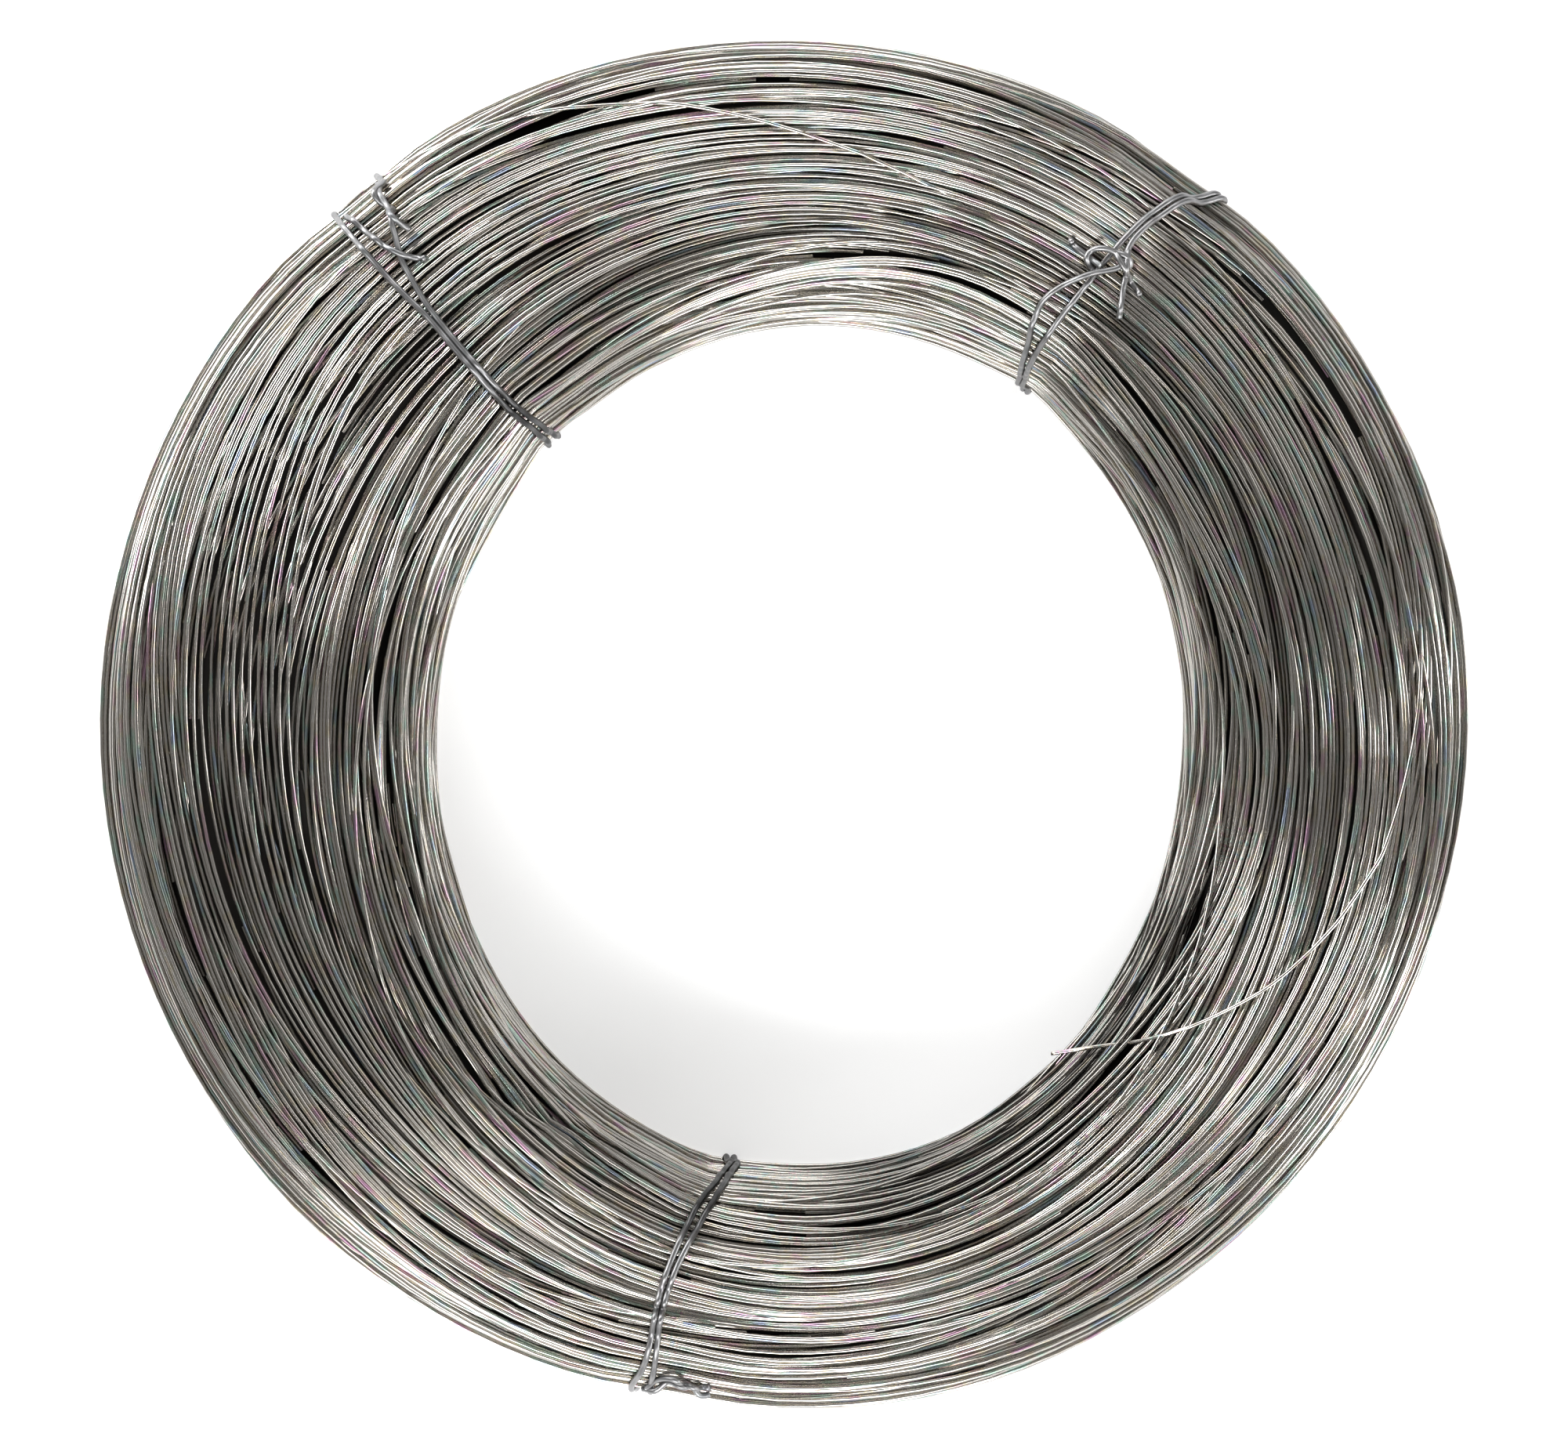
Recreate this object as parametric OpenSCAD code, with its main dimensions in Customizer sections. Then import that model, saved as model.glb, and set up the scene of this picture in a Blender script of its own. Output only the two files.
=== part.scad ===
// Coil of round spring wire, wound on a drum, taken off and tied in three places.
// The coil lies flat: the bore runs along Z and the lowest turns touch Z = 0.

/* [Spring wire] */
// Diameter of the spring wire
wire_d = 1.2; // [0.8:0.1:2]
// Depth of the valley between two neighbouring turns
turn_groove = 0.36; // [0.1:0.02:0.4]

/* [Coil] */
// Outside diameter of the coil
outer_d = 420; // [405:5:500]
// Diameter of the drum-wound bore
bore_d = 250; // [200:5:270]
// How far the bore has slipped off the middle of the coil
bore_offset = 11; // [0:0.5:14]
// Bearing of the side that it has slipped to, in degrees from +X
bore_offset_angle = -34; // [-180:1:180]
// Height of the coil as it lies
coil_h = 75; // [64:1:110]
// Rounding of the upper edges, where the turns settle into a crown
top_edge_r = 28; // [14:1:30]
// Rounding of the lower edges
bottom_edge_r = 16; // [8:1:22]

/* [Ties] */
// Diameter of the soft tie wire
tie_d = 2; // [1.2:0.1:2.6]
// Gap between the two strands of a tie
strand_gap = 0.4; // [0.2:0.1:1]
// Room between a tie strand and the turns that it pulls in
tie_clearance = 0.2; // [0.1:0.05:0.4]
// How far the turns are pulled in on each side of a strand pair
waist_margin = 0.6; // [0.4:0.1:2]
// Length of the twisted tail of a strand
tail_length = 17; // [10:1:24]
// Turns that the two ends of a strand make round each other in the tail
tail_turns = 1.75; // [1:0.25:2.5]

/* [Free end] */
// Distance from the coil's axis where the free end leaves the upper turns
end_start_r = 178; // [160:1:185]
// Bearing of that place, in degrees from +X
end_start_angle = -12; // [-40:1:20]
// Distance of the cut tip from the coil's axis
end_tip_r = 138; // [138:1:155]
// Bearing of the tip
end_tip_angle = -51; // [-80:1:-45]
// Bend radius of the free end, which keeps the cast of the wire
end_bow_r = 120; // [90:5:200]
// Room between the free end and the crown that it lies on
end_clearance = 0.05; // [0.02:0.01:0.2]

/* [Hidden] */
$fn = 180;

outer_r = outer_d / 2;
bore_r = bore_d / 2;
bore_middle = bore_offset * [cos(bore_offset_angle), sin(bore_offset_angle)];
wire_r = wire_d / 2;
tie_r = tie_d / 2;
edge_steps = 7;
tube_sides = 8;

// Bearings of the ties round the coil: back right, back left, front.
tie_bearings = [54, 129, 260.5];
// The step of the section that carries each knot: crown, outer shoulder, outer shoulder.
knot_steps = [2 * edge_steps + 1, edge_steps + 5, edge_steps + 3];

// The tie strands lie in a waist, so that their backs are level with the turns.
strand_inset = tie_clearance + tie_r;
waist_depth = strand_inset + tie_r + tie_clearance;
strand_pitch = tie_d + strand_gap;
waist_width = strand_pitch + tie_d + 2 * waist_margin;

// The tails lie on the turns beside the waist.
tail_r = tie_r + tie_clearance / 2;
tail_lift = strand_inset + tie_clearance + tie_r + tail_r;
tail_bend = 1.5 * tie_d;
tail_steps = 10;
knot_half = 2 * tie_d;

// The roundings give way where the thinnest wall has no room for two of them and the turns between.
edge_room = (outer_r - bore_r - bore_offset) / 2 - wire_d;
top_r = min(top_edge_r, edge_room);
bottom_r = min(bottom_edge_r, edge_room);

// The outer turns reach in to a seam. The bore turns lie inside it and run on under them, one wire
// lower on the top and one wire higher on the floor side, as far as one wire beyond the seam.
seam_r = bore_r + top_r + bore_offset + wire_d;
bore_turns_r = seam_r + bore_offset + wire_d;
bore_turns_top = coil_h - wire_d;

// Edge roundings of a section: [radius, height, edge radius, first angle].
outer_bottom_edge = [outer_r - bottom_r, bottom_r, bottom_r, -90];
outer_top_edge = [outer_r - top_r, coil_h - top_r, top_r, 0];
bore_top_edge = [bore_r + top_r, bore_turns_top - top_r, top_r, 90];
bore_bottom_edge = [bore_r + bottom_r, wire_d + bottom_r, bottom_r, 180];

// Distance from the coil's axis to the bore at a bearing.
function bore_at(bearing) =
    let (away = bearing - bore_offset_angle)
    bore_offset * cos(away) + sqrt(bore_r ^ 2 - (bore_offset * sin(away)) ^ 2);

// The edges that a tie goes round at a bearing.
function tie_edges(bearing) =
    let (bore = bore_at(bearing))
    [
        outer_bottom_edge,
        outer_top_edge,
        [bore + top_r, coil_h - top_r, top_r, 90],
        [bore + bottom_r, bottom_r, bottom_r, 180],
    ];

function edge_point(edge, angle, inset = 0) =
    [edge[0], edge[1]] + (edge[2] - inset) * [cos(angle), sin(angle)];
function edge_start(edge) = edge_point(edge, edge[3]);
function edge_end(edge) = edge_point(edge, edge[3] + 90);

// One turn on the outside of the section: a valley and the two shoulders of the wire.
function turn_points(place, first, share) =
    [place(first, turn_groove), place(first + share / 4, 0), place(first + 3 * share / 4, 0)];

// Turns side by side on a flat of the section.
function turns_on_flat(from, to) =
    let (
        turns = round(norm(to - from) / wire_d),
        dir = unit(to - from),
        inward = [-dir[1], dir[0]],
        place = function (part, depth) from + part * (to - from) + depth * inward
    )
    [for (i = [0 : turns - 1]) each turn_points(place, i / turns, 1 / turns)];

// Turns side by side round an edge of the section.
function turns_on_edge(edge) =
    let (
        turns = round(edge[2] * PI / 2 / wire_d),
        place = function (part, depth) edge_point(edge, edge[3] + 90 * part, depth)
    )
    [for (i = [0 : turns - 1]) each turn_points(place, i / turns, 1 / turns)];

// The sections with their turns. The bore stays plain, because the drum makes it smooth.
function outer_section() = concat(
    turns_on_flat([seam_r, 0], edge_start(outer_bottom_edge)),
    turns_on_edge(outer_bottom_edge),
    turns_on_flat(edge_end(outer_bottom_edge), edge_start(outer_top_edge)),
    turns_on_edge(outer_top_edge),
    turns_on_flat(edge_end(outer_top_edge), [seam_r, coil_h]),
    [[seam_r, coil_h - turn_groove]]
);
function bore_section() = concat(
    turns_on_flat(edge_end(bore_bottom_edge), [bore_turns_r, wire_d]),
    [[bore_turns_r, wire_d + turn_groove]],
    turns_on_flat([bore_turns_r, bore_turns_top], edge_start(bore_top_edge)),
    turns_on_edge(bore_top_edge),
    [edge_end(bore_top_edge), edge_start(bore_bottom_edge)],
    turns_on_edge(bore_bottom_edge)
);

// Edges without their turns, moved in by an inset.
function plain_edges(edges, inset) =
    [for (edge = edges, i = [0 : edge_steps]) edge_point(edge, edge[3] + 90 * i / edge_steps, inset)];
function plain_outer_section(inset) = concat(
    [[seam_r, coil_h - inset], [seam_r, inset]],
    plain_edges([outer_bottom_edge, outer_top_edge], inset)
);
function plain_bore_section(inset) = concat(
    [[bore_turns_r, wire_d + inset], [bore_turns_r, bore_turns_top - inset]],
    plain_edges([bore_top_edge, bore_bottom_edge], inset)
);

function unit(v) = v / norm(v);
function across(v, dir) = unit(v - (v * dir) * dir);
function reversed(list) = [for (i = [len(list) - 1 : -1 : 0]) list[i]];

// Directions along a route, and sides that turn as little as they can from ring to ring.
function route_dirs(route) =
    let (last = len(route) - 1)
    [for (i = [0 : last]) unit(route[min(i + 1, last)] - route[max(i - 1, 0)])];
function route_sides(dirs) = [
    for (
        i = 0, side = across([1, 2, 3], dirs[0]);
        i < len(dirs);
        i = i + 1, side = i < len(dirs) ? across(side, dirs[i]) : side
    ) side
];

// A round wire along a route.
module wire_along(route, diameter) {
    rings = len(route);
    dirs = route_dirs(route);
    sides = route_sides(dirs);
    points = [
        for (i = [0 : rings - 1], k = [0 : tube_sides - 1])
            let (turn = 360 * k / tube_sides)
            route[i] + diameter / 2 * (cos(turn) * sides[i] + sin(turn) * cross(dirs[i], sides[i]))
    ];
    walls = [
        for (i = [0 : rings - 2], k = [0 : tube_sides - 1])
            let (a = i * tube_sides + k, b = i * tube_sides + (k + 1) % tube_sides)
            each [[a, a + tube_sides, b], [b, a + tube_sides, b + tube_sides]]
    ];
    near_cap = [for (k = [0 : tube_sides - 1]) k];
    far_cap = [for (k = [tube_sides - 1 : -1 : 0]) (rings - 1) * tube_sides + k];
    polyhedron(points, concat([near_cap], walls, [far_cap]));
}

// A ring of outer turns and a ring of bore turns, each turned about its own axis.
module turned_rings(outer, bore) {
    rotate_extrude()
        polygon(outer);
    intersection() {
        translate(bore_middle)
            rotate_extrude()
                polygon(bore);
        cylinder(r = seam_r + wire_d, h = coil_h);
    }
}

// The places where a tie pulls the turns in.
module waists() {
    for (bearing = tie_bearings)
        rotate([0, 0, bearing])
            translate([0, -waist_width / 2, -coil_h / 2])
                cube([outer_d, waist_width, 2 * coil_h]);
}

module free_end() {
    start = end_start_r * [cos(end_start_angle), sin(end_start_angle)];
    tip = end_tip_r * [cos(end_tip_angle), sin(end_tip_angle)];
    half_chord = norm(start - tip) / 2;
    chord_dir = unit(start - tip);
    centre = (start + tip) / 2 + sqrt(end_bow_r ^ 2 - half_chord ^ 2) * [-chord_dir[1], chord_dir[0]];
    first = atan2(tip[1] - centre[1], tip[0] - centre[0]);
    translate([centre[0], centre[1], coil_h + wire_r + end_clearance])
        rotate([0, 0, first])
            rotate_extrude(angle = 2 * asin(half_chord / end_bow_r))
                translate([end_bow_r, 0])
                    circle(d = wire_d);
}

// The turns below the outermost ones come to light in the waists.
module wire_coil() {
    color("#8d8882") {
        turned_rings(plain_outer_section(waist_depth), plain_bore_section(waist_depth));
        difference() {
            turned_rings(outer_section(), bore_section());
            waists();
        }
        free_end();
    }
}

// One strand of a tie, as [radius, sideways, height]: once round the section, with its two ends
// brought out of the waist and twisted together into a tail on the given side.
function strand_route(bearing, knot_step, side) =
    let (
        loop = plain_edges(tie_edges(bearing), strand_inset),
        count = len(loop),
        before = loop[knot_step],
        after = loop[(knot_step + 1) % count],
        along = unit(after - before),
        outward = [along[1], -along[0]],
        middle = (before + after) / 2,
        half = min(knot_half, norm(after - before) / 2 - tie_clearance),
        lane = side * strand_pitch / 2,
        place = function (a, sideways, lift)
            let (p = middle + a * along + lift * outward) [p[0], lane + side * sideways, p[1]],
        end = function (hand) concat(
            [place(hand * half, 0, 0), place(hand * (half + tail_r) / 2, tail_bend / 8, tail_lift / 2)],
            [
                for (i = [0 : tail_steps])
                    let (part = i / tail_steps, turn = 360 * tail_turns * part ^ 1.5)
                    place(
                        hand * tail_r * cos(turn),
                        tail_bend + tail_length * part,
                        tail_lift + hand * tail_r * sin(turn)
                    )
            ]
        ),
        around = [
            for (i = [1 : count])
                let (p = loop[(knot_step + i) % count]) [p[0], lane, p[1]]
        ]
    )
    concat(reversed(end(1)), around, end(-1));

module tie(index) {
    color("#8f9092")
        rotate([0, 0, tie_bearings[index]])
            for (side = [-1, 1]) {
                wire_along(strand_route(tie_bearings[index], knot_steps[index], side), tie_d);
            }
}

module tie_back_right() {
    tie(0);
}

module tie_back_left() {
    tie(1);
}

module tie_front() {
    tie(2);
}

wire_coil();
tie_back_right();
tie_back_left();
tie_front();
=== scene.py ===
import math

import bpy
import numpy as np
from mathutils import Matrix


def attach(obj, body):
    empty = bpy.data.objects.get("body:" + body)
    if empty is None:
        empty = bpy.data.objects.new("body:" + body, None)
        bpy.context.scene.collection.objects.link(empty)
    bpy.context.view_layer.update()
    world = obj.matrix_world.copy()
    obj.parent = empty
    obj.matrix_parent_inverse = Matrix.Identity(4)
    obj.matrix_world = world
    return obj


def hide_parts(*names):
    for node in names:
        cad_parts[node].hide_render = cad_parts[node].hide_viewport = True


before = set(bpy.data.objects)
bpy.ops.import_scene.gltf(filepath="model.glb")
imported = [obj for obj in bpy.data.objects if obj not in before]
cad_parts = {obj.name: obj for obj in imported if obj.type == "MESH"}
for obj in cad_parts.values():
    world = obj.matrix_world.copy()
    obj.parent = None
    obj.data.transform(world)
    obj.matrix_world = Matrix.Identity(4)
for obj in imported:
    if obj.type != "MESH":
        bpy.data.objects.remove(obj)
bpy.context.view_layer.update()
mm = 0.001
print("frame loaded:", sorted(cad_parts))


# the coil's section, in millimetres, and where its bore lies
coil = {
    "outerR": 205.4,
    "boreR": 127.4,
    "height": 75.0,
    "topEdge": 28.0,
    "bottomEdge": 16.0,
    "boreShift": 11.2,           # the bore sits off centre, towards the lower right
    "boreShiftBearing": -34.6,
    "boreOval": 7.5,             # and is a little taller than wide
    "boreOvalBearing": 86.0,
    "boreThird": 1.4,
    "boreThirdBearing": 43.0,
}

# the ties: each strand goes once round the section, each tail lies on top of the turns; a place
# on them is the radius where the camera sees it, its bearing and how far it stands off the turns
# the number after a tie's bearing is painted shade: how much darker the tie is where it goes down into the
# bore
ties = {
    "back_right": {
        "bearing": 53.5, "boreEndShade": 0.0,
        "strands": [
            [(208, 50.4, 0), (206.4, 51.5, 0), (203.5, 52.6, 0), (200, 53.4, 0), (193.5, 54.3, 0),
             (184, 54.9, 0), (172, 55.3, 0), (165, 55.4, 0), (154, 55.7, 0), (139, 55.8, 0),
             (130, 55.0, 0), (127, 54.2, 0)],
            [(208, 49.8, 0), (206.2, 50.9, 0), (203, 52.0, 0), (199.5, 52.8, 0), (192.5, 53.7, 0),
             (184, 54.2, 0.6), (178, 53.9, 1.4), (174, 53.7, 2.0), (167, 55.8, 1.8), (160, 57.6, 0.6),
             (154, 58.5, 0.6), (148, 58.3, 0.4), (140, 57.3, 0), (133, 56.3, 0), (127, 55.1, 0)],
        ],
        "tails": [
            [(180, 54.0, 1.4), (177, 53.5, 2.6), (174, 52.8, 2.2), (170, 52.1, 0.6), (165.5, 51.2, 0.2),
             (162, 50.4, 0)],
            [(177, 54.9, 2.4), (175, 53.6, 2.8), (174, 52.4, 1.8), (173, 51.4, 0.8), (172.5, 50.7, 0.3),
             (171.5, 50.3, 0)],
            [(169, 54.9, 0.2), (169.5, 56.2, 0.3), (171, 57.1, 1.0), (174, 56.9, 2.0), (176, 56.0, 2.5),
             (177, 55.0, 2.6), (178, 53.8, 2.6), (177, 52.9, 1.6), (175, 53.2, 0.4)],
            [(171, 55.2, 1.9), (171.5, 56.6, 0.8), (172, 58.3, 0), (173, 59.3, 0)],
        ],
    },
    "back_left": {
        "bearing": 130.0, "boreEndShade": 1.9,
        "strands": [
            [(207.5, 131.5, 0), (194, 131.6, 0), (178, 131.5, 0), (166, 131.2, 0), (149, 131.3, 0),
             (130, 131.2, 0), (122, 130.6, 0), (114.5, 129.9, 0)],
            [(208, 126.5, 0), (203, 127.3, 1.0), (197, 127.6, 1.6), (192, 128.4, 1.4), (186, 129.4, 0.4),
             (179, 129.9, 0), (170, 130.4, 0), (161, 130.56, 0), (149, 130.58, 0), (132, 130.3, 0),
             (122, 129.5, 0), (114, 128.3, 0)],
        ],
        "tails": [
            [(206, 130.8, 0), (202, 130.5, 0), (194, 130.1, 0), (189, 129.6, 2.2), (185, 128.9, 1.8),
             (181, 127.6, 0)],
            [(208, 127.0, 0), (206, 126.4, 0.4), (204, 127.3, 3.0), (202, 127.8, 1.4), (199, 127.2, 0.4),
             (196.5, 127.7, 3.4), (194, 127.6, 1.6), (191, 127.1, 0)],
        ],
    },
    "front": {
        "bearing": 260.5, "boreEndShade": 2.0,
        "strands": [
            [(208, 257.0, 0), (203, 257.6, 0), (196, 257.8, 0), (187, 257.7, 0), (180, 257.7, 0),
             (173, 257.9, 0), (165, 258.4, 0), (157, 259.1, 0), (149, 260.2, 0), (142, 261.7, 0),
             (136.5, 263.2, 0)],
            [(208, 258.6, 0), (201, 258.6, 0), (192, 258.36, 0), (186, 258.3, 0), (179, 258.4, 0),
             (171, 258.8, 0), (163, 259.6, 0), (155, 260.6, 0), (149, 261.6, 0), (142, 262.8, 0),
             (136.5, 264.1, 0)],
        ],
        "tails": [
            [(208, 258.0, 0.6), (207, 259.2, 1.6), (205.5, 260.3, 0.4), (205, 261.2, 1.8),
             (206, 262.1, 0.4), (207, 262.9, 1.2), (207, 263.7, 0)],
            [(207.5, 258.3, 0.4), (204, 259.6, 0.4), (203, 260.7, 2.0), (205, 261.4, 0.2),
             (204.5, 262.2, 2.0), (206, 262.9, 0.2), (205.5, 263.6, 0)],
        ],
    },
}

# the photograph is taken from straight above; scale is true at the middle of the coil's height
view = {
    "height": 837.0,
    "level": 37.0,
    "searchFrom": 6.0,           # how far below the top edge a place is looked for
    "searchSteps": 400,
    "imageWidth": 2001,
    "coilPixels": 870,           # half the coil's width in the photograph
    "coilHalf": 0.21,            # and in metres
    "sensor": 36,
}

# how far the ties pull the turns in, more sharply on the floor
squeeze = {"depth": 1.6, "spread": 5.0, "floorDepth": 2.4, "floorSpread": 2.0, "floorEdge": 0.4}


def boreAt(bearing):
    return (
        coil["boreR"]
        + coil["boreShift"] * np.cos(bearing - math.radians(coil["boreShiftBearing"]))
        + coil["boreOval"] * np.cos(2 * (bearing - math.radians(coil["boreOvalBearing"])))
        + coil["boreThird"] * np.cos(3 * (bearing - math.radians(coil["boreThirdBearing"])))
    )


sectionSpans = np.array([
    coil["bottomEdge"] * math.pi / 2,
    coil["height"] - coil["topEdge"] - coil["bottomEdge"],
    coil["topEdge"] * math.pi / 2,
    coil["outerR"] - coil["boreR"] - 2 * coil["topEdge"],
    coil["topEdge"] * math.pi / 2,
    coil["height"] - coil["topEdge"] - coil["bottomEdge"],
    coil["bottomEdge"] * math.pi / 2,
    coil["outerR"] - coil["boreR"] - 2 * coil["bottomEdge"],
])
sectionEnds = np.cumsum(sectionSpans)
woundLength = sectionEnds[6]
sectionLength = sectionEnds[7]


# where a place on the section lies: radius, height and the way out
def sectionPlace(along, bearing):
    along, bearing = np.broadcast_arrays(np.mod(along, sectionLength), bearing)
    bore, top = boreAt(bearing), coil["height"]
    outer, te, be = coil["outerR"], coil["topEdge"], coil["bottomEdge"]
    stretch = np.minimum(np.searchsorted(sectionEnds, along, side="right"), 7)
    part = (along - (sectionEnds - sectionSpans)[stretch]) / sectionSpans[stretch]
    quarter = part * math.pi / 2
    turnBy = np.choose(stretch, [quarter - math.pi / 2, 0 * part, quarter, 0 * part + math.pi / 2,
                                 quarter + math.pi / 2, 0 * part + math.pi, quarter + math.pi,
                                 0 * part - math.pi / 2])
    outR, outZ = np.cos(turnBy), np.sin(turnBy)
    baseR = np.choose(stretch, [outer - be, outer, outer - te, outer - te + part * (bore - outer + 2 * te),
                                bore + te, bore, bore + be, bore + be + part * (outer - bore - 2 * be)])
    baseZ = np.choose(stretch, [be, be + part * (top - te - be), top - te, top,
                                top - te, top - te + part * (te + be - top), be, 0 * part])
    reach = np.choose(stretch, [be, 0, te, 0, te, 0, be, 0])
    return baseR + reach * outR, baseZ + reach * outZ, outR, outZ


# the place on the upper side that lies at a radius
def alongAtRadius(radius, bearing):
    radius, bearing = np.broadcast_arrays(np.asarray(radius, float), bearing)
    bore, outer, te = boreAt(bearing), coil["outerR"], coil["topEdge"]
    outerTurn = np.arccos(np.clip((radius - outer + te) / te, 0, 1))
    innerTurn = np.arcsin(np.clip((bore + te - radius) / te, 0, 1))
    flat = np.clip((outer - te - radius) / (outer - bore - 2 * te), 0, 1)
    onFlat = sectionEnds[2] + flat * sectionSpans[3]
    place = np.where(radius > outer - te, sectionEnds[1] + te * outerTurn, onFlat)
    return np.where(radius < bore + te, sectionEnds[3] + te * innerTurn, place)


# the place on the turns that the camera sees at a radius
def alongSeenAt(radius, bearing):
    steps = np.linspace(sectionEnds[1] - view["searchFrom"], sectionEnds[5], view["searchSteps"])
    places = []
    for want, way in zip(radius, bearing):
        r, z, _, _ = sectionPlace(steps, np.full(len(steps), way))
        seenR = r * (view["height"] - view["level"]) / (view["height"] - z)
        first = np.argmax(seenR)
        places.append(np.interp(-want, -seenR[first:], steps[first:]))
    return np.array(places)


# the ties' pull at a bearing and a place on the section
def pulledIn(bearing, along):
    place, edge = np.mod(along, sectionLength), coil["bottomEdge"] * squeeze["floorEdge"]
    onFloor = (place > woundLength - edge) | (place < edge)
    total = np.zeros(np.broadcast(bearing, along).shape)
    for tie in ties.values():
        away = np.degrees(np.angle(np.exp(1j * (bearing - math.radians(tie["bearing"])))))
        soft = squeeze["depth"] * np.exp(-(away / squeeze["spread"]) ** 2)
        hard = squeeze["floorDepth"] * np.exp(-(away / squeeze["floorSpread"]) ** 2)
        total = total + np.where(onFloor, hard, soft)
    return total


# from a place on the section and a height over the outline to the row frame, in metres
def toFrame(along, bearing, over):
    radius, height, outR, outZ = sectionPlace(along, bearing)
    out = over - pulledIn(bearing, along)
    radius, height = radius + out * outR, np.maximum(height + out * outZ, springWire["diameter"] / 2)
    point = np.stack([radius * np.cos(bearing), radius * np.sin(bearing), height], -1) * mm
    way = np.stack([outR * np.cos(bearing), outR * np.sin(bearing), outZ], -1)
    return point, way


# the spring wire, wound turn by turn: each turn comes to rest on those below it
springWire = {
    "diameter": 1.2,
    "sides": 6,
    "turns": 640,
    "stations": 120,
    "cell": 0.3,
    "startBearing": 260.5,
    "stripFrom": 0.6,            # the wound strip starts this far round the bottom edge
    "stiffRounds": 26,
    "easeRounds": 3,
    "carried": 8,                # stations of the last turn that hold the next turn's start
    "runOut": 6,                 # stations past its end that a turn is bridged over
    "runTurns": (6, 18),
    "pitch": (1.21, 1.42),
    "wander": (4.6, 3.4, 2.0, 1.0, 0.6),
    "loose": (0.3, 0.7, 1.4),    # how much a run wanders, and how often it is so
    "looseOdds": (0.45, 0.4, 0.15),
    "shake": 0.16,
    "reach": 45.0,               # how far the lay moves on from one run to the next
    "farCost": 0.8,              # how much lower a place further off has to be
    "levelBlur": 8,
    "levelNoise": 2.2,
    "changeFrom": (0, 0.9),      # where in a turn the wire leaves the old run, and over how many turns
    "changeOver": (0.4, 0.7),
    "changePerMm": 0.045,
    "changeMost": 2.6,
    "changeTurns": 4,
    "seam": 0.15,                # the part of a turn in which it leaves the last one's line
    "runTone": 0.7,
    "ownTone": 0.3,
    "settleBlur": (18, 40),      # millimetres along the section, degrees round the coil
    "seen": 2.7,                 # turns deeper than this under the surface stay out
    "pieceTriangles": 190000,
    "seed": 11,
}
wireR = springWire["diameter"] / 2
stations = springWire["stations"]
rng = np.random.default_rng(springWire["seed"])
share = np.arange(stations) / stations
bearings = math.radians(springWire["startBearing"]) + 2 * math.pi * share
rows = np.arange(stations)[:, None]
stripStart = coil["bottomEdge"] * springWire["stripFrom"]
stripLength = woundLength - 2 * stripStart
cellCount = int(stripLength / springWire["cell"])
pileTop = np.zeros((stations, cellCount))
reachCells = np.arange(-3, 4)


def footprint(path):
    cells = np.floor(path / springWire["cell"]).astype(int)[:, None] + reachCells
    away = cells * springWire["cell"] - path[:, None]
    inside = np.abs(away) < wireR
    return np.clip(cells, 0, cellCount - 1), np.sqrt(np.maximum(wireR ** 2 - away ** 2, 0)), inside


# one round of smoothing along a row, its ends kept
def softer(row):
    soft = row.copy()
    soft[1:-1] = (row[:-2] + 2 * row[1:-1] + row[2:]) / 4
    return soft


# a stiff wire bridges the gaps below it
def stiffened(rest, before):
    level = np.concatenate([before, rest, rest[-1:].repeat(springWire["runOut"])])
    base = level.copy()
    for _ in range(springWire["stiffRounds"]):
        level = np.maximum(base, softer(level))
        level[: len(before)] = before
    return level[len(before): len(before) + len(rest)]


def layTurn(path, before):
    cells, bump, inside = footprint(path)
    under = pileTop[rows, cells]
    rest = np.where(inside, under + bump, -1.0).max(1)
    centre = stiffened(rest, before)
    pileTop[rows, cells] = np.where(inside, np.maximum(under, centre[:, None] + bump), under)
    return centre


def waves(sizes):
    total = np.zeros(stations)
    for k, size in enumerate(sizes):
        total += size * rng.normal() * np.cos((k + 1) * bearings + rng.uniform(0, 2 * math.pi))
    return total


def eased(x):
    x = np.clip(x, 0, 1)
    return x * x * (3 - 2 * x)


def softWeights(count):
    weights = np.hanning(count + 2)[1:-1]
    return weights / weights.sum()


def blurred(grid, alongMm, bearingDeg):
    width = max(3, int(alongMm / springWire["cell"]) // 2 * 2 + 1)
    padded = np.pad(grid, ((0, 0), (width // 2, width // 2)), mode="edge")
    grid = np.array([np.convolve(row, softWeights(width), "valid") for row in padded])
    count = int(bearingDeg * stations / 360) // 2 * 2 + 1
    return sum(weight * np.roll(grid, k - count // 2, axis=0) for k, weight in enumerate(softWeights(count)))


# one run of neighbouring turns: its middle, its pitch and the wander that its turns share
def nextRun(near):
    level = blurred(pileTop.mean(0)[None, :], springWire["levelBlur"], 1)[0]
    noise = rng.normal(0, springWire["levelNoise"], cellCount)
    level = level + blurred(noise[None, :], springWire["levelBlur"], 1)[0]
    places = (np.arange(cellCount) + 0.5) * springWire["cell"]
    level = level + np.where(np.abs(places - near) > springWire["reach"], springWire["farCost"], 0)
    loose = rng.choice(springWire["loose"], p=springWire["looseOdds"])
    return {
        "middle": places[np.argmin(level)],
        "count": int(rng.integers(*springWire["runTurns"])),
        "pitch": rng.uniform(*springWire["pitch"]) * rng.choice([-1, 1]),
        "drift": waves(np.array(springWire["wander"]) * loose),
        "tone": rng.uniform(0, 1),
        "from": rng.uniform(*springWire["changeFrom"]),
        "over": rng.uniform(*springWire["changeOver"]),
    }


def runPath(run, turn):
    return run["middle"] + (turn - run["count"] / 2 + share) * run["pitch"] + run["drift"]


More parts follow.
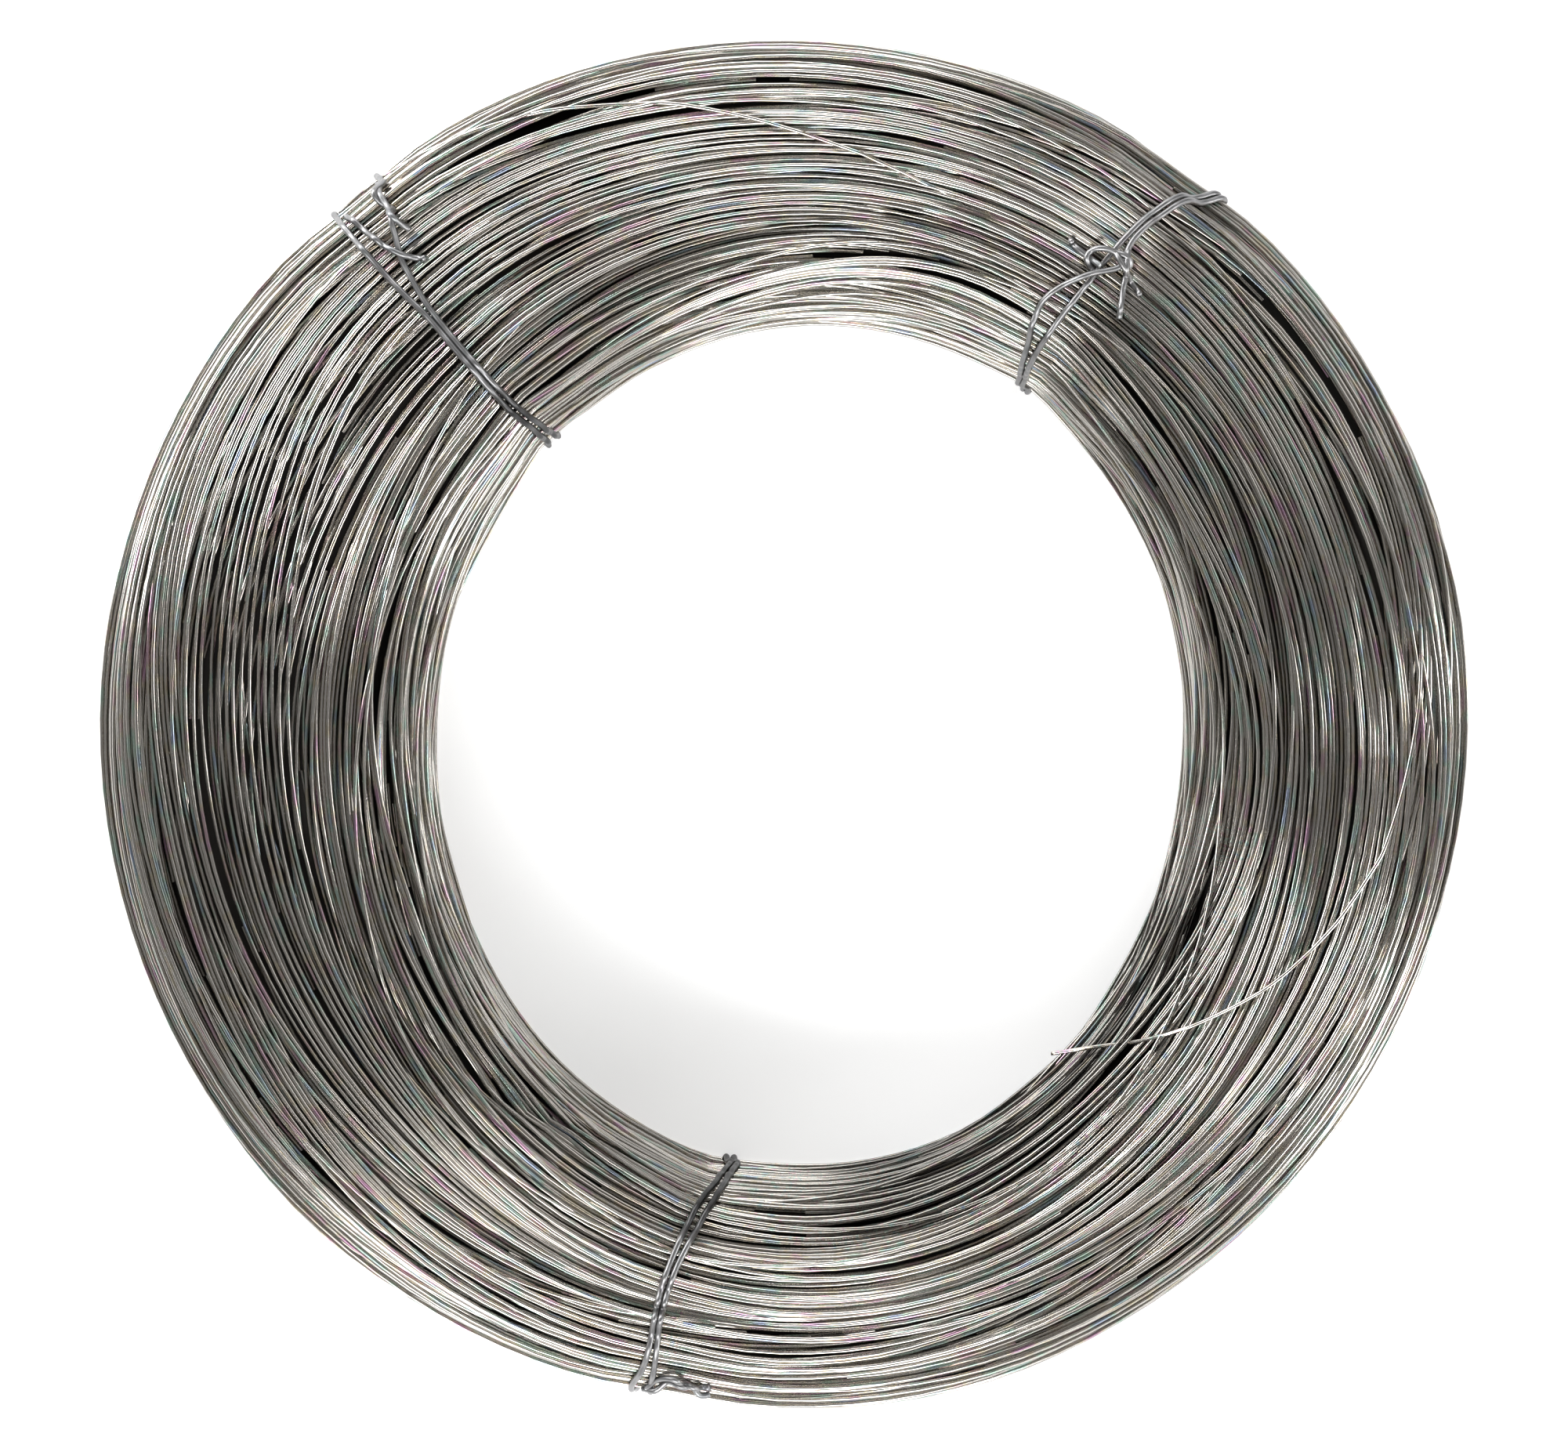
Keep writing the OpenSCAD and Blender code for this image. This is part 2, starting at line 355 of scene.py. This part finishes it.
lays, lifts, tones = [], [], []
oldRun, oldTurn = None, 0
lastPath, before = None, np.zeros(0)
run = nextRun(stripLength / 2)
while len(lays) < springWire["turns"]:
    for turn in range(run["count"]):
        path = runPath(run, turn)
        if oldRun is not None and turn < springWire["changeTurns"]:
            jump = abs(run["middle"] - oldRun["middle"])
            over = min(springWire["changeMost"], run["over"] + springWire["changePerMm"] * jump)
            blend = eased((turn + share - run["from"]) / over)
            path = runPath(oldRun, oldTurn + turn) * (1 - blend) + path * blend
        path = path + waves([0, springWire["shake"], springWire["shake"], springWire["shake"]])
        path = wireR + np.abs(path - wireR)
        path = stripLength - wireR - np.abs(stripLength - wireR - path)
        if lastPath is not None:
            step = 2 * lastPath[-1] - lastPath[-2] - path[0]
            path = path + step * (1 - eased(share / springWire["seam"]))
        centre = layTurn(path, before)
        lays.append(path)
        lifts.append(centre)
        tones.append(springWire["runTone"] * run["tone"] + springWire["ownTone"] * rng.uniform(0, 1))
        lastPath, before = path, centre[-springWire["carried"]:]
    oldRun, oldTurn = run, run["count"]
    run = nextRun(run["middle"])
lays, tones = np.array(lays), np.array(tones)
lifts = np.concatenate(lifts)
for _ in range(springWire["easeRounds"]):
    lifts = softer(lifts)
lifts = lifts.reshape(lays.shape)
settled = blurred(pileTop, *springWire["settleBlur"])
print("wound", len(lays), "turns; pile", pileTop.mean().round(2), "mean", pileTop.max().round(2), "most")


def onGrid(grid, path, bearing):
    row = np.mod((bearing - bearings[0]) / (2 * math.pi), 1) * stations
    col = np.clip(path / springWire["cell"] - 0.5, 0, cellCount - 1.001)
    r0, c0 = row.astype(int) % stations, col.astype(int)
    rf, cf = row - np.floor(row), col - c0
    r1 = (r0 + 1) % stations
    return ((grid[r0, c0] * (1 - cf) + grid[r0, c0 + 1] * cf) * (1 - rf)
            + (grid[r1, c0] * (1 - cf) + grid[r1, c0 + 1] * cf) * rf)


# hollows between bundles, as radius at bearings, with a depth and a width
hollows = {
    "fadeFrom": 8.0,
    "fadeOver": 14.0,
    "places": [
        {"bearings": (150, 170, 187, 207, 224, 242), "radii": (163, 159, 153, 144, 140, 136),
         "depth": 2.4, "width": 2.8},
        {"bearings": (285, 300, 312, 325), "radii": (188, 186, 183, 181), "depth": 3.0, "width": 2.4},
        {"bearings": (62, 78, 96, 112), "radii": (158, 152, 143, 139), "depth": 2.6, "width": 2.6},
        {"bearings": (5, 25, 45), "radii": (172, 178, 186), "depth": 2.6, "width": 2.6},
    ],
}


def hollowAt(along, bearing):
    degrees = np.degrees(np.mod(bearing, 2 * math.pi))
    total = np.zeros(np.broadcast(along, bearing).shape)
    for hollow in hollows["places"]:
        first = hollow["bearings"][0] - hollows["fadeFrom"]
        last = hollow["bearings"][-1] + hollows["fadeFrom"]
        radius = np.interp(degrees, hollow["bearings"], hollow["radii"])
        fade = eased((degrees - first) / hollows["fadeOver"]) * eased((last - degrees) / hollows["fadeOver"])
        away = along - alongAtRadius(radius, bearing)
        total = total + hollow["depth"] * fade * np.exp(-(away / hollow["width"]) ** 2)
    return total


# a round wire along points, with one ring of vertices at each
def tubeMesh(name, points, outs, links, radius, sides, layers, capEnds=()):
    ahead = np.zeros_like(points)
    ahead[1:-1] = points[2:] - points[:-2]
    ahead[0], ahead[-1] = points[1] - points[0], points[-1] - points[-2]
    ahead /= np.linalg.norm(ahead, axis=1)[:, None]
    across = np.cross(ahead, outs)
    across /= np.linalg.norm(across, axis=1)[:, None]
    outs = np.cross(across, ahead)
    turn = 2 * math.pi * np.arange(sides) / sides
    ring = np.cos(turn)[:, None] * outs[:, None, :] + np.sin(turn)[:, None] * across[:, None, :]
    used = np.zeros(len(points), bool)
    used[links] = True
    used[links + 1] = True
    number = np.cumsum(used) - 1
    verts = (points[:, None, :] + radius * ring)[used].reshape(-1, 3)
    first = number[links][:, None] * sides + np.arange(sides)
    second = number[links][:, None] * sides + (np.arange(sides) + 1) % sides
    quads = np.stack([first, second, second + sides, first + sides], -1).reshape(-1, 4)
    mesh = bpy.data.meshes.new(name)
    loops = quads.ravel()
    caps = [number[at] * sides + np.arange(sides) for at in capEnds]
    starts = np.arange(len(quads)) * 4
    sizes = np.full(len(quads), 4)
    for cap in caps:
        starts = np.append(starts, len(loops))
        sizes = np.append(sizes, sides)
        loops = np.concatenate([loops, cap])
    mesh.vertices.add(len(verts))
    mesh.vertices.foreach_set("co", verts.astype(np.float32).ravel())
    mesh.loops.add(len(loops))
    mesh.loops.foreach_set("vertex_index", loops.astype(np.int32))
    mesh.polygons.add(len(starts))
    mesh.polygons.foreach_set("loop_start", starts.astype(np.int32))
    mesh.polygons.foreach_set("loop_total", sizes.astype(np.int32))
    mesh.polygons.foreach_set("use_smooth", np.ones(len(starts), bool))
    for layer, values in layers.items():
        attribute = mesh.attributes.new(layer, "FLOAT", "POINT")
        attribute.data.foreach_set("value", np.repeat(values[used], sides).astype(np.float32))
    mesh.update(calc_edges=True)
    mesh.validate()
    obj = bpy.data.objects.new(name, mesh)
    bpy.context.scene.collection.objects.link(obj)
    return obj, len(quads) * 2


# painted shade: the turns at the bore are darkened on the lower right
paintedBoreShade = {"from": 268.0, "to": 348.0, "fade": 16.0, "depth": 1.2, "reach": 17.0, "reachFade": 14.0}


def paintedBoreShadeAt(along, bearing):
    degrees = np.degrees(np.mod(bearing, 2 * math.pi))
    side = eased((degrees - paintedBoreShade["from"]) / paintedBoreShade["fade"]) * eased((paintedBoreShade["to"] - degrees) / paintedBoreShade["fade"])
    inside = along - sectionEnds[4] + paintedBoreShade["reach"] + paintedBoreShade["reachFade"]
    return paintedBoreShade["depth"] * side * eased(inside / paintedBoreShade["reachFade"])


cellAt = np.clip((lays / springWire["cell"]).astype(int), 0, cellCount - 1)
buried = pileTop[np.arange(stations)[None, :], cellAt] - lifts - wireR
settle = onGrid(settled, lays, np.broadcast_to(bearings, lays.shape))
shown = (buried < springWire["seen"]).ravel()
shown = shown | np.roll(shown, 1) | np.roll(shown, -1)
allAlong = lays.ravel()
allBearing = np.tile(bearings, len(lays))
sink = hollowAt(allAlong + stripStart, allBearing)
points, outs = toFrame(allAlong + stripStart, allBearing, (lifts - settle).ravel() - sink)
alongWire = np.concatenate([[0], np.cumsum(np.linalg.norm(np.diff(points, axis=0), axis=1))])
# each turn's own tone, less the painted shade at the bore
turnToneAndShade = np.repeat(tones, stations) - paintedBoreShadeAt(allAlong + stripStart, allBearing)
links = np.flatnonzero(shown[:-1] & shown[1:])
perPiece = int(springWire["pieceTriangles"] / (2 * springWire["sides"]))
coilPieces = []
for part, start in enumerate(range(0, len(links), perPiece)):
    piece, count = tubeMesh(
        f"spring_wire_{part + 1}", points, outs, links[start: start + perPiece], wireR * mm,
        springWire["sides"], {"tone": turnToneAndShade, "run": alongWire},
    )
    coilPieces.append(piece)
    print(piece.name, count, "triangles")

# the turns on the floor lie side by side
floorWire = {"pitch": 1.22, "tone": 0.5}
floorLength = sectionSpans[7] + 2 * stripStart
floorTurns = int(floorLength / floorWire["pitch"])
floorTurn = np.arange(floorTurns * stations) / stations
floorPath = woundLength - stripStart + floorTurn * floorLength / floorTurns
floorBearing = np.resize(bearings, len(floorPath))
floorPoints, floorOuts = toFrame(floorPath, floorBearing, -wireR)
floorTone = np.full(len(floorPoints), floorWire["tone"])
floorPiece, count = tubeMesh(
    "spring_wire_floor", floorPoints, floorOuts, np.arange(len(floorPoints) - 1), wireR * mm,
    springWire["sides"], {"tone": floorTone, "run": np.zeros(len(floorPoints))},
)
coilPieces.append(floorPiece)
print(floorPiece.name, count, "triangles")


# the imported turns inside, as a near-black sheet under the wires: painted shade seen between them
core = {"depth": 4.6, "columns": 90}
columns = core["columns"]
coreAlong = np.linspace(0, sectionLength, columns, endpoint=False)
coreAlong, coreBearing = np.meshgrid(coreAlong, 2 * math.pi * share, indexing="xy")
corePoints, _ = toFrame(coreAlong, coreBearing, -core["depth"] - hollowAt(coreAlong, coreBearing))
row, col = np.divmod(np.arange(stations * columns), columns)
nextRow, nextCol = (row + 1) % stations, (col + 1) % columns
corners = [(row, col), (nextRow, col), (nextRow, nextCol), (row, nextCol)]
coreFaces = np.stack([r * columns + c for r, c in corners], -1)
coreMesh = bpy.data.meshes.new("packed_core")
coreMesh.from_pydata(corePoints.reshape(-1, 3).tolist(), [], coreFaces.tolist())
coreMesh.polygons.foreach_set("use_smooth", np.ones(len(coreFaces), bool))
corePiece = bpy.data.objects.new("packed_core", coreMesh)
bpy.context.scene.collection.objects.link(corePiece)
print(corePiece.name, len(coreFaces) * 2, "triangles")


# how high the laid turns stand at a place
def surfaceOver(along, bearing):
    path = along - stripStart
    laid = onGrid(pileTop - settled, np.clip(path, 0, stripLength), bearing) - hollowAt(along, bearing)
    return np.where((path > 0) & (path < stripLength), laid, 0.0)


def evenly(points, step):
    gone = np.concatenate([[0], np.cumsum(np.linalg.norm(np.diff(points, axis=0), axis=1))])
    at = np.linspace(0, gone[-1], max(4, int(gone[-1] / step)))
    return np.stack([np.interp(at, gone, points[:, k]) for k in range(3)], -1)


def smoothed(points, rounds):
    for _ in range(rounds):
        points = softer(points)
    return points


# a wire of its own through points, whose rings turn as little as they can
def wireThrough(name, points, diameter, sides, layers):
    ahead = np.gradient(points, axis=0)
    ahead /= np.linalg.norm(ahead, axis=1)[:, None]
    out = np.array([0.31, 0.47, 0.83])    # any way that no wire here runs
    outs = []
    for way in ahead:
        out = out - (out @ way) * way
        out = out / np.linalg.norm(out)
        outs.append(out)
    last = len(points) - 1
    piece, _ = tubeMesh(
        name, points, np.array(outs), np.arange(last), diameter / 2 * mm, sides, layers, capEnds=(0, last),
    )
    return piece


# two single lengths on top: the free end and a turn that has sprung loose; a place on them is a
# bearing and a radius, and the tone goes from the first place to the last
singleWire = {"places": 260, "softRounds": 160, "step": 1.4, "sides": 8, "diveFrom": 0.72, "diveOver": 0.2}
singles = {
    "spring_wire_free_end": {
        "route": [(54, 197), (38, 196), (20, 193), (4, 187.5), (-12.4, 179), (-20, 171.5), (-26.5, 164),
                  (-32, 156), (-37.7, 147.5), (-44.2, 138), (-51, 129)],
        # painted shade: the free end's tone starts dark, to hold down a highlight on its first part, and
        # grows pale towards its tip
        "dive": 0.0, "stiff": 260, "tone": (-0.5, 0.95),
    },
    "spring_wire_loose_turn": {
        "route": [(131, 206), (125.2, 203.5), (115.4, 197), (105.8, 189.4), (97.4, 182), (90, 174.6),
                  (82, 168), (75.9, 164), (68, 161), (58, 160)],
        "dive": 3.2, "stiff": 120, "tone": (0.2, 0.9),
    },
}
for name, single in singles.items():
    route = np.array(single["route"], float)
    part = np.linspace(0, 1, len(route))
    fine = np.linspace(0, 1, singleWire["places"])
    bearing = np.radians(np.interp(fine, part, route[:, 0]))
    radius = smoothed(np.interp(fine, part, route[:, 1]), singleWire["softRounds"])
    along = alongAtRadius(radius, bearing)
    place, _ = toFrame(along, bearing, surfaceOver(along, bearing) + wireR)
    level = place[:, 2] / mm
    base = level.copy()
    for _ in range(single["stiff"]):
        soft = softer(level)
        soft[-1] = 2 * level[-2] - level[-3]
        level = np.maximum(base, soft)
    level = level - single["dive"] * eased((fine - singleWire["diveFrom"]) / singleWire["diveOver"])
    path = np.stack([radius * np.cos(bearing) * mm, radius * np.sin(bearing) * mm, level * mm], -1)
    path = evenly(path, singleWire["step"] * mm)
    singleTone = np.linspace(*single["tone"], len(path))
    singleRun = np.arange(len(path)) * singleWire["step"] * mm
    piece = wireThrough(name, path, springWire["diameter"], singleWire["sides"],
                        {"tone": singleTone, "run": singleRun})
    coilPieces.append(piece)
    print(name, len(path), "rings")


# the tie wire, and how its lengths are laid
tieWire = {
    "diameter": 1.85,
    "sides": 10,
    "step": 0.7,
    "softRounds": 30,            # how far a strand bridges the gaps between the turns
    "strandPlaces": 240,
    "strandRounds": 3,
    "tailPlaces": 90,
    "tailRounds": 2,
    "floorGap": 0.1,
    "tone": 0.3,
    "toneStep": 0.1,             # each length of a tie is a little paler than the one before
    "boreEndShadeFrom": 18.0,           # how far from the bore's wall the painted shade begins
    "boreEndShadeFade": 10.0,
}


# a smooth course through a route, at even steps from its first place to its last
def course(route, count):
    v = np.array(route, float)
    at = np.linspace(0, len(v) - 1.0001, count)
    slopes = np.gradient(v, axis=0)
    k = np.clip(at.astype(int), 0, len(v) - 2)
    s = (at - k)[:, None]
    return ((2 * s ** 3 - 3 * s ** 2 + 1) * v[k] + (s ** 3 - 2 * s ** 2 + s) * slopes[k]
            + (3 * s ** 2 - 2 * s ** 3) * v[k + 1] + (s ** 3 - s ** 2) * slopes[k + 1])


# a soft wire lies on the turns and bridges small gaps between them
def tieLevel(along, bearing):
    level = surfaceOver(along, bearing)
    level = np.maximum(level, np.maximum(np.roll(level, 1), np.roll(level, -1)))
    base = level.copy()
    for _ in range(tieWire["softRounds"]):
        level = np.maximum(base, softer(level))
    return level + tieWire["diameter"] / 2


# once round the section, from the middle of the underside and back to it
def strandPoints(route):
    top = course(route, tieWire["strandPlaces"])
    topBearing = np.radians(top[:, 1])
    topAlong = np.maximum.accumulate(alongSeenAt(top[:, 0], topBearing))
    start = sectionEnds[6] + sectionSpans[7] / 2 - sectionLength
    along = np.arange(start, start + sectionLength, tieWire["step"])
    alongs = np.concatenate([[start], topAlong, [start + sectionLength]])
    middle = (topBearing[0] + topBearing[-1]) / 2
    bearing = np.interp(along, alongs, np.concatenate([[middle], topBearing, [middle]]))
    lift = np.interp(along, alongs, np.concatenate([[0], top[:, 2], [0]]))
    turned = np.mod(along, sectionLength)
    path, _ = toFrame(turned, bearing, tieLevel(turned, bearing) + lift)
    path[:, 2] = np.maximum(path[:, 2], (tieWire["diameter"] / 2 + tieWire["floorGap"]) * mm)
    return smoothed(evenly(path, tieWire["step"] * mm), tieWire["strandRounds"])


def tailPoints(route):
    spots = course(route, tieWire["tailPlaces"])
    bearing = np.radians(spots[:, 1])
    along = alongSeenAt(spots[:, 0], bearing)
    path, _ = toFrame(along, bearing, tieLevel(along, bearing) + spots[:, 2])
    return smoothed(evenly(path, tieWire["step"] * mm), tieWire["tailRounds"])


tiePieces = []
for name, tie in ties.items():
    courses = [strandPoints(route) for route in tie["strands"]]
    courses += [tailPoints(route) for route in tie["tails"]]
    for k, path in enumerate(courses):
        # painted shade: two of the ties are darkened where they go down into the bore
        fromBore = np.hypot(path[:, 0], path[:, 1]) / mm - boreAt(np.arctan2(path[:, 1], path[:, 0]))
        boreEndShade = tie["boreEndShade"] * eased((tieWire["boreEndShadeFrom"] - fromBore) / tieWire["boreEndShadeFade"])
        tieToneAndShade = tieWire["tone"] + tieWire["toneStep"] * k - boreEndShade
        tieRun = np.arange(len(path)) * tieWire["step"] * mm
        piece = wireThrough(f"tie_wire_{name}_{k + 1}", path, tieWire["diameter"], tieWire["sides"],
                            {"tone": tieToneAndShade, "run": tieRun})
        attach(piece, "root")
        tiePieces.append(piece)
    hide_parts(f"tie_{name}")


def material(name):
    mat = bpy.data.materials.new(name)
    mat.use_nodes = True
    tree = mat.node_tree
    shader = tree.nodes["Principled BSDF"]
    return mat, tree, shader


# colour that changes from wire to wire and along each wire
fleck = {
    "spacing": 53.0,             # keeps the flecks of neighbouring turns apart
    "detail": 2.0,
    "rough": 0.12,
    "hues": [
        (0.28, (0.92, 0.5, 0.86, 1)),
        (0.35, (1.0, 0.72, 0.8, 1)),
        (0.4, (1.0, 0.93, 0.7, 1)),
        (0.44, (1.0, 0.97, 0.93, 1)),
        (0.58, (1.0, 0.98, 0.94, 1)),
        (0.63, (0.7, 1.0, 0.86, 1)),
        (0.72, (0.5, 0.66, 1.0, 1)),
    ],
}
steelInputs = {"Steel": (0.6, 0.58, 0.55, 1), "Change": 0.3, "Sheen": 0.3, "Length": 40.0, "Rough": 0.25}
steelTone = bpy.data.node_groups.new("steel_tone", "ShaderNodeTree")
for name, value in steelInputs.items():
    kind = "NodeSocketColor" if name == "Steel" else "NodeSocketFloat"
    socket = steelTone.interface.new_socket(name, in_out="INPUT", socket_type=kind)
    socket.default_value = value
steelTone.interface.new_socket("Base Color", in_out="OUTPUT", socket_type="NodeSocketColor")
steelTone.interface.new_socket("Roughness", in_out="OUTPUT", socket_type="NodeSocketFloat")
nodes, wires = steelTone.nodes, steelTone.links
given, result = nodes.new("NodeGroupInput"), nodes.new("NodeGroupOutput")


def mathNode(operation, a, b):
    node = nodes.new("ShaderNodeMath")
    node.operation = operation
    for slot, value in zip(node.inputs, (a, b)):
        if isinstance(value, (int, float)):
            slot.default_value = value
        else:
            wires.new(value, slot)
    return node.outputs[0]


tone = nodes.new("ShaderNodeAttribute")
tone.attribute_name = "tone"
run = nodes.new("ShaderNodeAttribute")
run.attribute_name = "run"
place = nodes.new("ShaderNodeCombineXYZ")
wires.new(mathNode("MULTIPLY", run.outputs["Fac"], given.outputs["Length"]), place.inputs["X"])
wires.new(mathNode("MULTIPLY", tone.outputs["Fac"], fleck["spacing"]), place.inputs["Y"])
flecks = nodes.new("ShaderNodeTexNoise")
flecks.inputs["Scale"].default_value = 1.0
flecks.inputs["Detail"].default_value = fleck["detail"]
wires.new(place.outputs[0], flecks.inputs["Vector"])
hues = nodes.new("ShaderNodeValToRGB")
stops = hues.color_ramp.elements
stops[0].position, stops[0].color = fleck["hues"][0]
stops[1].position, stops[1].color = fleck["hues"][-1]
for at, colour in fleck["hues"][1:-1]:
    stops.new(at).color = colour
wires.new(flecks.outputs["Fac"], hues.inputs["Fac"])
sheen = nodes.new("ShaderNodeMix")
sheen.data_type, sheen.blend_type = "RGBA", "MULTIPLY"
wires.new(given.outputs["Sheen"], sheen.inputs["Factor"])
wires.new(given.outputs["Steel"], sheen.inputs["A"])
wires.new(hues.outputs["Color"], sheen.inputs["B"])
under = mathNode("SUBTRACT", 1.0, tone.outputs["Fac"])
level = mathNode("SUBTRACT", 1.0, mathNode("MULTIPLY", given.outputs["Change"], under))
darker = nodes.new("ShaderNodeMix")
darker.data_type, darker.blend_type = "RGBA", "MULTIPLY"
darker.inputs["Factor"].default_value = 1.0
wires.new(sheen.outputs["Result"], darker.inputs["A"])
wires.new(level, darker.inputs["B"])
wires.new(darker.outputs["Result"], result.inputs["Base Color"])
rougher = mathNode("MULTIPLY", flecks.outputs["Fac"], fleck["rough"])
wires.new(mathNode("ADD", given.outputs["Rough"], rougher), result.inputs["Roughness"])


# the spring wire is bright, the ties are dull
finishes = {
    "bright_drawn_wire": {
        "Steel": (0.655, 0.634, 0.606, 1), "Change": 0.4, "Sheen": 0.7, "Length": 60.0, "Rough": 0.13,
    },
    "dull_tie_steel": {
        "Steel": (0.3, 0.3, 0.305, 1), "Change": 0.3, "Sheen": 0.1, "Length": 90.0, "Rough": 0.34,
    },
}


def steel(name):
    mat, tree, shader = material(name)
    group = tree.nodes.new("ShaderNodeGroup")
    group.node_tree = steelTone
    for socket, value in finishes[name].items():
        group.inputs[socket].default_value = value
    tree.links.new(group.outputs["Base Color"], shader.inputs["Base Color"])
    tree.links.new(group.outputs["Roughness"], shader.inputs["Roughness"])
    shader.inputs["Metallic"].default_value = 1.0
    return mat


def plain(name, colour, rough):
    mat, tree, shader = material(name)
    shader.inputs["Base Color"].default_value = colour
    shader.inputs["Roughness"].default_value = rough
    return mat, tree, shader


brightWire, tieSteel = steel("bright_drawn_wire"), steel("dull_tie_steel")
# painted shade: a near-black metal for the sheet under the wires
paintedShadeCore, _, shader = plain("painted_shade_between_turns", (0.03, 0.028, 0.026, 1), 0.66)
shader.inputs["Metallic"].default_value = 1.0

for piece in coilPieces:
    piece.data.materials.append(brightWire)
    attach(piece, "root")
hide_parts("wire_coil")
corePiece.data.materials.append(paintedShadeCore)
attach(corePiece, "root")
for piece in tiePieces:
    piece.data.materials.append(tieSteel)
print("finished", len(coilPieces) + 1, "coil pieces and", len(tiePieces), "tie lengths")

# the pale floor, the soft lights round the coil and the room; a light has a bearing and a height in
# degrees, a width and a depth in metres, and watts
studio = {
    "floorHalf": 4,
    "floorColour": (0.9, 0.9, 0.9, 1),
    "floorRough": 0.9,
    "floorGlow": 0.3,            # added where the camera or the metal sees the floor
    "room": (0.22, 0.22, 0.22, 1),
    "distance": 1.5,
    "lights": {
        "front_light": (257, 42, 1.25, 0.5, 20),
        "low_back_left_light": (146, 25, 1.15, 0.35, 20),
        "right_light": (331, 27, 0.55, 0.4, 10),
        "wide_front_light": (288, 46, 1.2, 0.5, 5),
        "low_back_light": (102, 26, 1.5, 0.35, 16),
        "streak_light": (4, 26, 0.12, 0.3, 2.4),
        "side_light": (39, 48, 0.6, 0.6, 2.0),
    },
}
half = studio["floorHalf"]
floorMesh = bpy.data.meshes.new("floor")
floorCorners = [(-half, -half, 0), (half, -half, 0), (half, half, 0), (-half, half, 0)]
floorMesh.from_pydata(floorCorners, [], [(0, 1, 2, 3)])
floor = bpy.data.objects.new("floor", floorMesh)
bpy.context.scene.collection.objects.link(floor)
floorMat, tree, shader = plain("pale_floor", studio["floorColour"], studio["floorRough"])
shader.inputs["Emission Color"].default_value = (1, 1, 1, 1)
rays = tree.nodes.new("ShaderNodeLightPath")
shows = rays.outputs["Is Camera Ray"]
for ray in ("Is Glossy Ray", "Is Transmission Ray"):
    either = tree.nodes.new("ShaderNodeMath")
    either.operation = "MAXIMUM"
    tree.links.new(shows, either.inputs[0])
    tree.links.new(rays.outputs[ray], either.inputs[1])
    shows = either.outputs[0]
glow = tree.nodes.new("ShaderNodeMath")
glow.operation = "MULTIPLY"
glow.inputs[1].default_value = studio["floorGlow"]
tree.links.new(shows, glow.inputs[0])
tree.links.new(glow.outputs[0], shader.inputs["Emission Strength"])
floorMesh.materials.append(floorMat)

scene = bpy.context.scene
scene.view_settings.view_transform = "Standard"
world = bpy.data.worlds.new("studio")
scene.world = world
world.use_nodes = True
world.node_tree.nodes["Background"].inputs["Color"].default_value = studio["room"]
world.node_tree.nodes["Background"].inputs["Strength"].default_value = 1.0


def softbox(name, bearing, elevation, width, depth, power):
    data = bpy.data.lights.new(name, "AREA")
    data.shape = "RECTANGLE"
    data.size, data.size_y = width, depth
    data.energy = power
    light = bpy.data.objects.new(name, data)
    scene.collection.objects.link(light)
    b, e = math.radians(bearing), math.radians(elevation)
    away, up = studio["distance"] * math.cos(e), studio["distance"] * math.sin(e)
    light.location = (away * math.cos(b), away * math.sin(b), up)
    light.rotation_euler = (math.pi / 2 - e, 0, b + math.pi / 2)


for name, settings in studio["lights"].items():
    softbox(name, *settings)
print("lit by", len(studio["lights"]), "softboxes")

camera = bpy.data.objects.new("camera", bpy.data.cameras.new("camera"))
scene.collection.objects.link(camera)
scene.camera = camera
camera.data.sensor_fit = "HORIZONTAL"
camera.data.sensor_width = view["sensor"]
distance = (view["height"] - view["level"]) * mm
frameWidth = view["imageWidth"] / view["coilPixels"] * view["coilHalf"]
camera.data.lens = view["sensor"] * distance / frameWidth
camera.location = (0, 0, view["height"] * mm)
camera.rotation_euler = (0, 0, 0)
